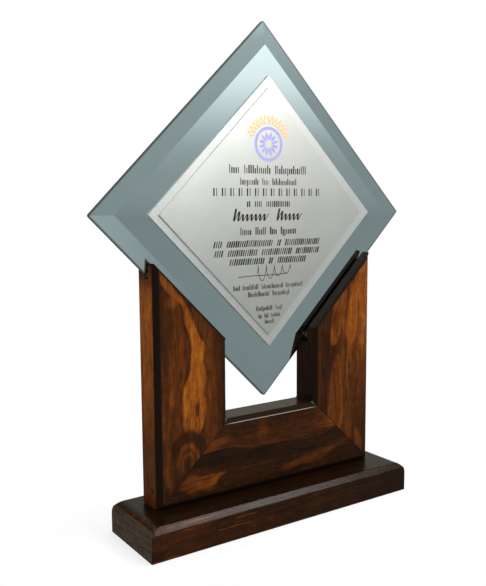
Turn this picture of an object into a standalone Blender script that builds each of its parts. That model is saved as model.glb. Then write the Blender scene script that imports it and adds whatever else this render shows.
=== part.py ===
"""Wooden award plaque: a bevelled mirror set as a diamond in a mitred U-shaped frame on a base board.

Metres, +Z up. The origin is the middle of the footprint on the underside of the base board, and
the printed face looks along -Y. Nothing moves: every piece is glued, nailed, screwed or taped.
"""
import math

import bmesh
import bpy
from mathutils import Vector

MM = 0.001
GAP = 0.3 * MM                      # clearance between pieces that touch

# Base board
BASE_LENGTH = 237 * MM
BASE_DEPTH = 64 * MM
BASE_HEIGHT = 23.5 * MM
BASE_END_RADIUS = 8.5 * MM          # the top edges of the two ends are rounded over
BASE_END_SEGMENTS = 6
BASE_CHAMFER = 4 * MM               # along the front and the back
BASE_ARRIS = 0.6 * MM

# Frame: one U-shaped outline, cut into two stiles and a bottom rail at the mitres
FRAME_WIDTH = 200 * MM
FRAME_DEPTH = 24 * MM
FRAME_Y = 5 * MM                    # the frame stands a little behind the middle of the base
STILE_WIDTH = 59 * MM
RAIL_TOP = 81 * MM
FRONT_CHAMFER = 3.4 * MM
SEAT_CHAMFER_SHARE = 0.3            # the sloped seats have a smaller front chamfer
BACK_CHAMFER_SHARE = 0.25
FRAME_ARRIS = 0.4 * MM

# Bevelled mirror: a square standing on one corner, its lower edges in the grooves of the stiles
MIRROR_SIDE = 200 * MM
MIRROR_THICKNESS = 5 * MM
MIRROR_RIM = 2.3 * MM               # thickness left at the ground edge
MIRROR_BEVEL = 12.5 * MM
MIRROR_CORNER_RADIUS = 1.5 * MM
MIRROR_CORNER_SEGMENTS = 4
MIRROR_BACK_Y = 7.3 * MM
MIRROR_CENTRE_Z = 231.8 * MM

# Grooves along the sloped seats, measured square to the mirror's lower edges
SEAT_OVERLAP = 6.6 * MM             # how far the seats cover the mirror
GROOVE_WIDTH = 6 * MM
GROOVE_CLEARANCE = 1.9 * MM         # room under the mirror's edge, filled with silicone
GROOVE_Y = 4.9 * MM

# Plates and the tape behind them, listed from the mirror's face to the front
BORDER_PLATE_SIDE = 143.5 * MM
BORDER_PLATE_THICKNESS = 0.6 * MM
PRINT_PLATE_SIDE = 131 * MM
PRINT_PLATE_THICKNESS = 0.5 * MM
TAPE_THICKNESS = 0.4 * MM
TAPE_WIDTH = 19 * MM
TAPE_LENGTH = 110 * MM
TAPE_SPACING = 90 * MM
BORDER_PLATE_SHIFT_X = 2.2 * MM     # the two plates are stuck on a little off centre
PRINT_PLATE_SHIFT_X = 1 * MM

# Silicone beads
BEAD_HEIGHT = 4.5 * MM              # up the front of the bevel
BEAD_INNER_X = 42.4 * MM
BEAD_OUTER_X = 98.5 * MM
LUMP_RADIUS = 1.45 * MM
LUMP_SEGMENTS = 12
LUMP_RINGS = 8
LUMP_FORWARD = 0.5 * MM             # from the groove's front wall
LUMP_UP = 3.6 * MM                  # from the mirror's edge

# Countersunk wood screws, driven up through the base board into the rail
SCREW_XS = (-58 * MM, 0.0, 58 * MM)
SCREW_LENGTH = 42 * MM
SCREW_RADIUS = 2 * MM
SCREW_HEAD_RADIUS = 4 * MM
SCREW_HEAD_HEIGHT = 2.4 * MM
SCREW_HEAD_RIM = 0.4 * MM
SCREW_SINK = 1 * MM                 # head below the underside of the base
SCREW_POINT = 6 * MM
SCREW_SLOT_WIDTH = 1 * MM
SCREW_SLOT_LENGTH = 4.6 * MM
SCREW_SLOT_DEPTH = 1.5 * MM

# Finishing nails through the mitres, driven in from the sides and covered with filler
NAIL_LENGTH = 38 * MM
NAIL_RADIUS = 0.85 * MM
NAIL_HEAD_RADIUS = 1.3 * MM
NAIL_HEAD_HEIGHT = 0.8 * MM
NAIL_POINT = 2.5 * MM
NAIL_SINK = 2 * MM
NAIL_Y = 1.8 * MM
NAIL_Z = 36.5 * MM

TURNED_STEPS = 20
ARRIS_SEGMENTS = 2
ARRIS_ANGLE = 30                    # degrees; edges that turn less than this are left as they are
FLAT_ANGLE = 0.01                   # radians; faces that turn less than this are joined
CUTTER_SIZE = 400 * MM              # larger than the object, for cutters that stand for a half space
MERGE_DISTANCE = 0.01 * MM

FRAME_BOTTOM = BASE_HEIGHT + GAP
FRAME_HALF_WIDTH = FRAME_WIDTH / 2
INNER_HALF_WIDTH = FRAME_HALF_WIDTH - STILE_WIDTH
MIRROR_FRONT_Y = MIRROR_BACK_Y - MIRROR_THICKNESS
MIRROR_RIM_Y = MIRROR_BACK_Y - MIRROR_RIM
MIRROR_TIP_Z = MIRROR_CENTRE_Z - MIRROR_SIDE / math.sqrt(2)
SEAT_RISE = MIRROR_TIP_Z + SEAT_OVERLAP * math.sqrt(2)   # height of the seats' line at x = 0

COLOURS = {
    "stained_wood": ((0.16, 0.055, 0.022), 0.28, 0.0),
    "mirror_glass": ((0.42, 0.5, 0.5), 0.05, 1.0),
    "satin_aluminium": ((0.72, 0.74, 0.73), 0.34, 1.0),
    "printed_aluminium": ((0.62, 0.64, 0.62), 0.4, 1.0),
    "tape": ((0.75, 0.75, 0.72), 0.7, 0.0),
    "black_silicone": ((0.015, 0.015, 0.015), 0.35, 0.0),
    "wood_filler": ((0.03, 0.018, 0.012), 0.7, 0.0),
    "zinc_steel": ((0.6, 0.58, 0.5), 0.4, 1.0),
}


def clear_scene():
    for old in list(bpy.data.objects):
        bpy.data.objects.remove(old, do_unlink=True)


def new_collection(name):
    collection = bpy.data.collections.new(name)
    bpy.context.scene.collection.children.link(collection)
    return collection


def new_material(name):
    colour, roughness, metallic = COLOURS[name]
    material = bpy.data.materials.new(name)
    material.use_nodes = True
    shader = material.node_tree.nodes["Principled BSDF"]
    shader.inputs["Base Color"].default_value = (*colour, 1)
    shader.inputs["Roughness"].default_value = roughness
    shader.inputs["Metallic"].default_value = metallic
    return material


def new_object(name, mesh, collection, parent=None):
    obj = bpy.data.objects.new(name, mesh)
    collection.objects.link(obj)
    obj.parent = parent
    return obj


def part(name, mesh, material_name, parent=None):
    obj = new_object(name, mesh, parts, parent)
    mesh.materials.append(materials[material_name])
    return obj


def cutter(name, mesh, parent=None):
    obj = new_object(name, mesh, cutters, parent)
    obj.hide_render = True
    obj.display_type = 'WIRE'
    return obj


def empty(name, location, turn_y):
    obj = new_object(name, None, guides)
    obj.location = location
    obj.rotation_euler = (0, turn_y, 0)
    return obj


def box_mesh(name, size):
    shape = bmesh.new()
    bmesh.ops.create_cube(shape, size=1)
    bmesh.ops.scale(shape, vec=size, verts=shape.verts)
    mesh = bpy.data.meshes.new(name)
    shape.to_mesh(mesh)
    shape.free()
    return mesh


def outline_mesh(name, outline, thickness):
    """A flat outline in XY, extruded by half the thickness to each side of its plane."""
    curve = bpy.data.curves.new(name, 'CURVE')
    curve.dimensions = '2D'
    curve.fill_mode = 'BOTH'
    curve.extrude = thickness / 2
    spline = curve.splines.new('POLY')
    spline.points.add(len(outline) - 1)
    for point, (x, y) in zip(spline.points, outline):
        point.co = (x, y, 0, 1)
    spline.use_cyclic_u = True
    source = new_object(name + "_outline", curve, cutters)
    depsgraph = bpy.context.evaluated_depsgraph_get()
    mesh = bpy.data.meshes.new_from_object(source.evaluated_get(depsgraph))
    mesh.name = name
    bpy.data.objects.remove(source)
    shape = bmesh.new()
    shape.from_mesh(mesh)
    bmesh.ops.remove_doubles(shape, verts=shape.verts, dist=MERGE_DISTANCE)
    bmesh.ops.dissolve_limit(shape, angle_limit=FLAT_ANGLE, verts=shape.verts, edges=shape.edges)
    bmesh.ops.recalc_face_normals(shape, faces=shape.faces)
    shape.to_mesh(mesh)
    shape.free()
    return mesh


def profile_mesh(name, profile):
    """The half section of a turned piece, running from its top down its outer side."""
    mesh = bpy.data.meshes.new(name)
    points = [(radius, 0, height) for radius, height in profile]
    mesh.from_pydata(points, [(i, i + 1) for i in range(len(points) - 1)], [])
    return mesh


def turn(obj):
    screw = obj.modifiers.new("turn", 'SCREW')
    screw.axis = 'Z'
    screw.angle = math.tau
    screw.steps = TURNED_STEPS
    screw.render_steps = TURNED_STEPS
    screw.use_merge_vertices = True
    screw.merge_threshold = MERGE_DISTANCE
    screw.use_smooth_shade = True


def combine(obj, other, operation='DIFFERENCE'):
    boolean = obj.modifiers.new(other.name, 'BOOLEAN')
    boolean.operation = operation
    boolean.solver = 'EXACT'
    boolean.object = other


def weight_edges(mesh, weight_of):
    """Store each edge's share of the Bevel width, from the vector along it and its middle."""
    shape = bmesh.new()
    shape.from_mesh(mesh)
    layer = shape.edges.layers.float.new("bevel_weight_edge")
    for edge in shape.edges:
        start, end = (vert.co for vert in edge.verts)
        edge[layer] = weight_of(end - start, (start + end) / 2)
    shape.to_mesh(mesh)
    shape.free()


def bevel_weighted(obj, width, segments=1):
    bevel = obj.modifiers.new("bevel", 'BEVEL')
    bevel.limit_method = 'WEIGHT'
    bevel.width = width
    bevel.segments = segments


def ease_edges(obj, width):
    bevel = obj.modifiers.new("arris", 'BEVEL')
    bevel.limit_method = 'ANGLE'
    bevel.angle_limit = math.radians(ARRIS_ANGLE)
    bevel.width = width
    bevel.segments = ARRIS_SEGMENTS


def half_space(name, point, outward):
    """A large box behind the plane through point, on the side that outward points to."""
    outward = outward.normalized()
    obj = cutter(name, box_mesh(name, (CUTTER_SIZE, CUTTER_SIZE, CUTTER_SIZE)))
    obj.location = point + outward * CUTTER_SIZE / 2
    obj.rotation_euler = outward.to_track_quat('Z', 'Y').to_euler()
    return obj


def screw_profile(grow):
    """A countersunk screw with its point up; grow widens it into the hole that it is driven into."""
    top = SCREW_SINK + SCREW_LENGTH + grow
    bottom = SCREW_SINK if grow == 0 else -SCREW_SINK
    head = SCREW_HEAD_RADIUS + grow
    shank = SCREW_RADIUS + grow
    return [
        (0, top),
        (shank, top - SCREW_POINT),
        (shank, SCREW_SINK + SCREW_HEAD_HEIGHT + grow),
        (head, SCREW_SINK + SCREW_HEAD_RIM + grow),
        (head, bottom),
        (0, bottom),
    ]


def nail_profile(grow):
    """A finishing nail with its head up at -NAIL_SINK; grow makes the hole, open at the surface."""
    top = -NAIL_SINK if grow == 0 else NAIL_SINK
    neck = -NAIL_SINK - NAIL_HEAD_HEIGHT - grow
    point = -NAIL_SINK - NAIL_LENGTH - grow
    return [
        (0, top),
        (NAIL_HEAD_RADIUS + grow, top),
        (NAIL_HEAD_RADIUS + grow, neck),
        (NAIL_RADIUS + grow, neck),
        (NAIL_RADIUS + grow, point + NAIL_POINT),
        (0, point),
    ]


def frame_outline():
    """The U from the front: the tops of the stiles slope down and in, parallel to the mirror."""
    right_half = [
        (FRAME_HALF_WIDTH, FRAME_BOTTOM),
        (FRAME_HALF_WIDTH, SEAT_RISE + FRAME_HALF_WIDTH),
        (INNER_HALF_WIDTH, SEAT_RISE + INNER_HALF_WIDTH),
        (INNER_HALF_WIDTH, RAIL_TOP),
    ]
    return right_half + [(-x, z) for x, z in reversed(right_half)]


def frame_edge_weight(along, middle):
    """Front edges take the full chamfer, the seats' front edges and the back edges a smaller one."""
    if abs(along.z) > FRAME_DEPTH / 2:
        return SEAT_CHAMFER_SHARE if middle.y > RAIL_TOP else 0.0
    if middle.z < 0:
        return BACK_CHAMFER_SHARE
    sloped = abs(along.x) > MM and abs(along.y) > MM
    return SEAT_CHAMFER_SHARE if sloped else 1.0


def frame_member(name):
    """A copy of the whole U in its place, to be cut back to one member."""
    mesh = outline_mesh(name, frame_outline(), FRAME_DEPTH)
    weight_edges(mesh, frame_edge_weight)
    obj = part(name, mesh, "stained_wood")
    obj.location = (0, FRAME_Y, 0)
    obj.rotation_euler = (math.radians(90), 0, 0)
    bevel_weighted(obj, FRONT_CHAMFER)
    ease_edges(obj, FRAME_ARRIS)
    return obj


def make_base():
    """A board with rounded-over ends, then planed to a chamfer along the front and the back."""
    mesh = box_mesh("base_board", (BASE_LENGTH, BASE_DEPTH, BASE_HEIGHT))
    weight_edges(mesh, lambda along, middle: 1.0 if middle.z > 0 and abs(along.y) > MM else 0.0)
    obj = part("base_board", mesh, "stained_wood")
    obj.location = (0, 0, BASE_HEIGHT / 2)
    bevel_weighted(obj, BASE_END_RADIUS, BASE_END_SEGMENTS)
    for side, word in ((-1, "front"), (1, "back")):
        lower_edge = Vector((0, side * BASE_DEPTH / 2, BASE_HEIGHT - BASE_CHAMFER))
        combine(obj, half_space(word + "_base_chamfer", lower_edge, Vector((0, side, 1))))
    ease_edges(obj, BASE_ARRIS)
    return obj


def make_frame():
    rail = frame_member("bottom_rail")
    stiles = {}
    for side, word in ((-1, "left"), (1, "right")):
        inner = Vector((side * INNER_HALF_WIDTH, 0, RAIL_TOP))
        outer = Vector((side * FRAME_HALF_WIDTH, 0, FRAME_BOTTOM))
        run = outer - inner
        to_stile = Vector((-side * run.z, 0, side * run.x)).normalized()
        stile_side = half_space(word + "_mitre_rail_cut", inner - to_stile * GAP / 2, to_stile)
        rail_side = half_space(word + "_mitre_stile_cut", inner + to_stile * GAP / 2, to_stile)
        combine(rail, stile_side)
        stile = frame_member(word + "_stile")
        combine(stile, rail_side, 'INTERSECT')
        stiles[side] = stile
    return rail, stiles


def cut_groove(stile, side, word, slope):
    """A slot along the seat, open at both ends, from below the mirror's edge to above the seat."""
    depth = GROOVE_CLEARANCE + 2 * SEAT_OVERLAP
    mesh = box_mesh(word + "_groove", (MIRROR_SIDE, GROOVE_WIDTH, depth))
    groove = cutter(word + "_groove", mesh, slope)
    groove.location = (side * MIRROR_SIDE / 2, GROOVE_Y, depth / 2 - GROOVE_CLEARANCE)
    combine(stile, groove)


def bead_section():
    """An L under the mirror's edge and up the front of its bevel, as (y, height above the edge)."""
    front = GROOVE_Y - GROOVE_WIDTH / 2 + GAP
    back = GROOVE_Y + GROOVE_WIDTH / 2 - GAP
    bottom = GAP - GROOVE_CLEARANCE
    bevel_slope = (MIRROR_THICKNESS - MIRROR_RIM) / MIRROR_BEVEL
    return [
        (front, BEAD_HEIGHT),
        (front, bottom),
        (back, bottom),
        (back, -GAP),
        (MIRROR_RIM_Y - GAP, -GAP),
        (MIRROR_RIM_Y - GAP - BEAD_HEIGHT * bevel_slope, BEAD_HEIGHT),
    ]


def make_silicone(side, word, slope):
    """The bead in the groove, with the lump squeezed out of the groove's lower end."""
    inner = BEAD_INNER_X * math.sqrt(2)
    outer = BEAD_OUTER_X * math.sqrt(2)
    name = word + "_silicone_bead"
    bead = part(name, outline_mesh(name, bead_section(), outer - inner), "black_silicone", slope)
    bead.location = (side * (inner + outer) / 2, 0, 0)
    bead.rotation_euler = (math.radians(90), 0, math.radians(90))
    shape = bmesh.new()
    bmesh.ops.create_uvsphere(shape, u_segments=LUMP_SEGMENTS, v_segments=LUMP_RINGS, radius=LUMP_RADIUS)
    for face in shape.faces:
        face.smooth = True
    mesh = bpy.data.meshes.new(word + "_silicone_lump")
    shape.to_mesh(mesh)
    shape.free()
    lump = cutter(word + "_silicone_lump", mesh, slope)
    lump.location = (side * (inner - LUMP_RADIUS / 2), GROOVE_Y - GROOVE_WIDTH / 2 + LUMP_FORWARD, LUMP_UP)
    combine(bead, lump, 'UNION')


def make_mirror(diamond):
    """A square glass blank with rounded corners, its four front edges ground to a wide bevel."""
    mesh = box_mesh("bevelled_mirror", (MIRROR_SIDE, MIRROR_THICKNESS, MIRROR_SIDE))
    weight_edges(mesh, lambda along, middle: 1.0 if abs(along.y) > MM else 0.0)
    mirror = part("bevelled_mirror", mesh, "mirror_glass", diamond)
    mirror.location = (0, MIRROR_BACK_Y - MIRROR_THICKNESS / 2, 0)
    bevel_weighted(mirror, MIRROR_CORNER_RADIUS, MIRROR_CORNER_SEGMENTS)
    tilt = math.atan2(MIRROR_THICKNESS - MIRROR_RIM, MIRROR_BEVEL)
    for quarter in range(4):
        angle = quarter * math.pi / 2
        outward = Vector((math.sin(angle), 0, math.cos(angle)))
        normal = outward * math.sin(tilt) + Vector((0, -math.cos(tilt), 0))
        name = f"grinding_plane_{quarter + 1}"
        grinder = half_space(name, outward * MIRROR_SIDE / 2 + Vector((0, MIRROR_RIM_Y, 0)), normal)
        grinder.parent = diamond
        combine(mirror, grinder)
    return mirror


def make_plates(diamond):
    """The two plates, each behind it two strips of tape, stacked forward from the mirror."""
    layers = (
        ("border_plate", "border_tape", BORDER_PLATE_SIDE, BORDER_PLATE_THICKNESS, BORDER_PLATE_SHIFT_X,
         "satin_aluminium"),
        ("printed_plate", "print_tape", PRINT_PLATE_SIDE, PRINT_PLATE_THICKNESS, PRINT_PLATE_SHIFT_X,
         "printed_aluminium"),
    )
    back = MIRROR_FRONT_Y
    for plate_name, tape_name, side, thickness, shift_x, material_name in layers:
        shift = shift_x / math.sqrt(2)
        tape_y = back - GAP - TAPE_THICKNESS / 2
        for sign, word in ((1, "upper"), (-1, "lower")):
            name = f"{tape_name}_{word}"
            tape = part(name, box_mesh(name, (TAPE_LENGTH, TAPE_THICKNESS, TAPE_WIDTH)), "tape", diamond)
            tape.location = (shift, tape_y, shift + sign * TAPE_SPACING / 2)
        plate_y = back - 2 * GAP - TAPE_THICKNESS - thickness / 2
        plate = part(plate_name, box_mesh(plate_name, (side, thickness, side)), material_name, diamond)
        plate.location = (shift, plate_y, shift)
        back = plate_y - thickness / 2


def make_screws(base, rail):
    words = ("left", "middle", "right")
    for x, word in zip(SCREW_XS, words):
        hole = cutter(word + "_screw_hole", profile_mesh(word + "_screw_hole", screw_profile(GAP)))
        hole.location = (x, FRAME_Y, 0)
        turn(hole)
        combine(base, hole)
        combine(rail, hole)
        name = word + "_base_screw"
        screw = part(name, profile_mesh(name, screw_profile(0)), "zinc_steel")
        screw.location = (x, FRAME_Y, 0)
        turn(screw)
        for size in ((SCREW_SLOT_LENGTH, SCREW_SLOT_WIDTH), (SCREW_SLOT_WIDTH, SCREW_SLOT_LENGTH)):
            slot_name = f"{word}_screw_slot_{len(screw.modifiers)}"
            slot = cutter(slot_name, box_mesh(slot_name, (*size, 2 * SCREW_SLOT_DEPTH)))
            slot.location = (x, FRAME_Y, SCREW_SINK)
            combine(screw, slot)


def make_nails(rail, stiles):
    for side, word in ((-1, "left"), (1, "right")):
        place = (side * FRAME_HALF_WIDTH, NAIL_Y, NAIL_Z)
        turned = (0, side * math.radians(90), 0)
        hole = cutter(word + "_nail_hole", profile_mesh(word + "_nail_hole", nail_profile(GAP)))
        nail_name = word + "_mitre_nail"
        nail = part(nail_name, profile_mesh(nail_name, nail_profile(0)), "zinc_steel")
        filler_name = word + "_nail_filler"
        bottom = GAP - NAIL_SINK
        filler_profile = [(0, 0), (NAIL_HEAD_RADIUS, 0), (NAIL_HEAD_RADIUS, bottom), (0, bottom)]
        filler = part(filler_name, profile_mesh(filler_name, filler_profile), "wood_filler")
        for piece in (hole, nail, filler):
            piece.location = place
            piece.rotation_euler = turned
            turn(piece)
        combine(stiles[side], hole)
        combine(rail, hole)


def make_plaque():
    base = make_base()
    rail, stiles = make_frame()
    make_screws(base, rail)
    for side, word in ((-1, "left"), (1, "right")):
        slope = empty(word + "_slope", (0, 0, MIRROR_TIP_Z), -side * math.radians(45))
        cut_groove(stiles[side], side, word, slope)
        make_silicone(side, word, slope)
    make_nails(rail, stiles)
    diamond = empty("diamond", (0, 0, MIRROR_CENTRE_Z), math.radians(45))
    make_mirror(diamond)
    make_plates(diamond)


clear_scene()
parts = new_collection("wooden_plaque")
cutters = new_collection("cutters")
guides = new_collection("guides")
materials = {name: new_material(name) for name in COLOURS}
make_plaque()
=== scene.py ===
import math
import random

import bmesh
import bpy
from mathutils import Matrix, Vector


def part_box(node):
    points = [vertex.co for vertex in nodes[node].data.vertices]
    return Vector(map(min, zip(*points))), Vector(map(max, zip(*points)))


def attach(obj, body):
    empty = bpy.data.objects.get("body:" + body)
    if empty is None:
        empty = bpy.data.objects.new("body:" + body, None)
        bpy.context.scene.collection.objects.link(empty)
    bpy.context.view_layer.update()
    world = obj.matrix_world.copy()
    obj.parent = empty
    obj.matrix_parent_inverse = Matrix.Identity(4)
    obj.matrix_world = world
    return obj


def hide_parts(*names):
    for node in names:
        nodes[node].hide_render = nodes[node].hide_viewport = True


# Looks of the wooden award plaque: a bevelled mirror diamond with a printed plate, in a wooden frame.
# Metres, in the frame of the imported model: +Z up, and the printed face looks along -Y. Patterns are
# worked out in millimetres, from object coordinates.

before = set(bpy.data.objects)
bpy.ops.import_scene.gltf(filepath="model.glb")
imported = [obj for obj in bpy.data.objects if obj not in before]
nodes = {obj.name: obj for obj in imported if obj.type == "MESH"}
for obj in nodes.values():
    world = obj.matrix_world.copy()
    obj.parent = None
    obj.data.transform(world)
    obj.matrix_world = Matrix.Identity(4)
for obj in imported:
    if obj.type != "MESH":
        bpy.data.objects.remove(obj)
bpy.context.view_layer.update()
random.seed(41)

MM = 0.001
DIAGONAL = 0.7071         # cosine of 45 degrees
SEAT_LINE = 99.7          # millimetres, height of the line of the two sloped seats at x = 0
MIRROR_MIDDLE = 231.8     # millimetres, height of the middle of the mirror


# ---------------------------------------------------------------- shader graphs

class Graph:
    """Adds nodes to one node tree. Each method gives back an output socket."""

    def __init__(self, tree):
        self.tree = tree

    def feed(self, socket, value):
        if isinstance(value, bpy.types.NodeSocket):
            self.tree.links.new(value, socket)
        else:
            socket.default_value = value

    def node(self, kind, inputs, output=0, **settings):
        made = self.tree.nodes.new("ShaderNode" + kind)
        for name, value in settings.items():
            setattr(made, name, value)
        for key, value in inputs.items():
            self.feed(made.inputs[key], value)
        return made.outputs[output]

    def math(self, operation, a, b=0.0):
        return self.node("Math", {0: a, 1: b}, operation=operation)

    def total(self, *terms):
        result = terms[0]
        for term in terms[1:]:
            result = self.math('ADD', result, term)
        return result

    def minus(self, a, b):
        return self.math('SUBTRACT', a, b)

    def times(self, a, b):
        return self.math('MULTIPLY', a, b)

    def highest(self, *values):
        result = values[0]
        for value in values[1:]:
            result = self.math('MAXIMUM', result, value)
        return result

    def absolute(self, value):
        return self.math('ABSOLUTE', value)

    def length(self, a, b):
        """How long the pair a, b is, as the sides of a right angle."""
        return self.math('SQRT', self.total(self.times(a, a), self.times(b, b)))

    def step(self, value, start, end):
        """0 at start, 1 at end, smooth between them; start may be above end."""
        if start > end:
            return self.minus(1.0, self.step(value, end, start))
        inputs = {0: value, 1: start, 2: end, 3: 0.0, 4: 1.0}
        return self.node("MapRange", inputs, interpolation_type='SMOOTHSTEP')

    def blend(self, value, target, mask):
        """value where mask is 0 and target where it is 1."""
        return self.node("Mix", {0: mask, 2: value, 3: target}, data_type='FLOAT')

    def tint(self, colour, target, mask):
        return self.node("Mix", {0: mask, 6: colour, 7: target}, output=2, data_type='RGBA')

    def curve(self, value, points):
        """A smooth line through (value, result) points, held level beyond both ends."""
        low, high = points[0][0], points[-1][0]
        results = [result for _, result in points]
        bottom, top = min(results), max(results)
        share = self.node("MapRange", {0: value, 1: low, 2: high, 3: 0.0, 4: 1.0})
        made = self.tree.nodes.new("ShaderNodeFloatCurve")
        self.feed(made.inputs["Value"], share)
        line = made.mapping.curves[0]
        spots = [((v - low) / (high - low), (r - bottom) / (top - bottom)) for v, r in points]
        line.points[0].location = spots[0]
        line.points[1].location = spots[-1]
        for spot in spots[1:-1]:
            line.points.new(*spot)
        made.mapping.update()
        return self.node("MapRange", {0: made.outputs[0], 1: 0.0, 2: 1.0, 3: bottom, 4: top})

    def scaled(self, vector, factors):
        return self.node("VectorMath", {0: vector, 1: factors}, operation='MULTIPLY')

    def shifted(self, vector, offset):
        return self.node("VectorMath", {0: vector, 1: offset}, operation='ADD')

    def noise(self, vector, size, detail=2.0, roughness=0.5, output=0):
        """Noise from 0 to 1 whose features are about size across; output 1 is its vector form."""
        inputs = {"Vector": vector, "Scale": 1 / size, "Detail": detail, "Roughness": roughness}
        return self.node("TexNoise", inputs, output=output)

    def signed(self, value, amount):
        """Noise turned into a push of up to about amount each way."""
        return self.times(self.minus(value, 0.5), 2 * amount)

    def split(self, vector):
        made = self.tree.nodes.new("ShaderNodeSeparateXYZ")
        self.feed(made.inputs[0], vector)
        return made.outputs[0], made.outputs[1], made.outputs[2]

    def join(self, x, y, z):
        return self.node("CombineXYZ", {0: x, 1: y, 2: z})

    def millimetres(self):
        place = self.node("TexCoord", {}, output="Object")
        return self.scaled(place, (1000.0, 1000.0, 1000.0))

    def normal(self):
        """The face normal as x, y and z. Nothing in the object is turned, so it is in the row frame."""
        return self.split(self.node("NewGeometry", {}, output="True Normal"))

    def ramp(self, value, stops):
        made = self.tree.nodes.new("ShaderNodeValToRGB")
        self.feed(made.inputs[0], value)
        elements = made.color_ramp.elements
        elements[0].position, elements[0].color = stops[0][0], (*stops[0][1], 1)
        elements[1].position, elements[1].color = stops[-1][0], (*stops[-1][1], 1)
        for position, colour in stops[1:-1]:
            element = elements.new(position)
            element.color = (*colour, 1)
        return made.outputs[0]

    def bump(self, height, depth, strength):
        return self.node("Bump", {"Height": height, "Distance": depth, "Strength": strength})


def material(name, **plain):
    """A Principled material and its Graph. The plain values are the same all over the surface."""
    made = bpy.data.materials.new(name)
    made.use_nodes = True
    shader = made.node_tree.nodes["Principled BSDF"]
    for key, value in plain.items():
        shader.inputs[key.replace("_", " ")].default_value = value
    graph = Graph(made.node_tree)
    graph.shader = shader.inputs
    return made, graph


def dress(piece, new_material):
    """Puts the material into every slot of the piece."""
    piece.data.materials.clear()
    piece.data.materials.append(new_material)


# ---------------------------------------------------------------- wood

WOOD_TONES = [
    (0.00, (0.0100, 0.0034, 0.0004)),
    (0.12, (0.0200, 0.0062, 0.0008)),
    (0.30, (0.0500, 0.0128, 0.0014)),
    (0.52, (0.1080, 0.0270, 0.0026)),
    (0.75, (0.2000, 0.0530, 0.0040)),
    (1.00, (0.3300, 0.1000, 0.0070)),
]
STAIN_TONE = -0.12        # below the first of the tones, for the black stain


class Figure:
    """Masks and marks that a board's figure is drawn with, in its own slightly wavy coordinates."""

    def __init__(self, graph, point, along):
        self.graph = graph
        self.point = point
        reach = (3.0, 1.0) if along == 'X' else (1.0, 3.0)
        wavy = graph.scaled(point, (1 / reach[0], 1.0, 1 / reach[1]))
        push = graph.noise(wavy, 9.0, detail=3.0, roughness=0.55, output=1)
        offset = graph.scaled(graph.shifted(push, (-0.5, -0.5, -0.5)), (5.0, 0.0, 5.0))
        self.x, _, self.z = graph.split(graph.shifted(point, offset))

    def ribbon(self, across, along, centre, half, soft=1.5):
        """A streak: centre and half give its middle line and its half width at points along it."""
        g = self.graph
        middle = g.curve(along, centre)
        width = g.curve(along, half)
        distance = g.absolute(g.minus(across, middle))
        return g.step(g.minus(width, distance), -soft, soft)

    def spot(self, x, z, across, tall, turn=0.0, soft=0.35):
        """An oval patch, turned by some degrees."""
        g = self.graph
        c, s = math.cos(math.radians(turn)), math.sin(math.radians(turn))
        dx = g.minus(self.x, x)
        dz = g.minus(self.z, z)
        u = g.total(g.times(dx, c / across), g.times(dz, s / across))
        v = g.total(g.times(dx, -s / tall), g.times(dz, c / tall))
        return g.step(g.length(u, v), 1 + soft, 1 - soft)

    def arch(self, x, z, rise):
        """Distance from the middle of an arch, whose legs run straight down below z."""
        g = self.graph
        dx = g.minus(self.x, x)
        dz = g.times(g.highest(g.minus(self.z, z), 0.0), rise)
        return g.length(dx, dz)


# Each board's tone, from 0 dark to 1 pale, is drawn at the figure's x and z in millimetres.

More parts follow.
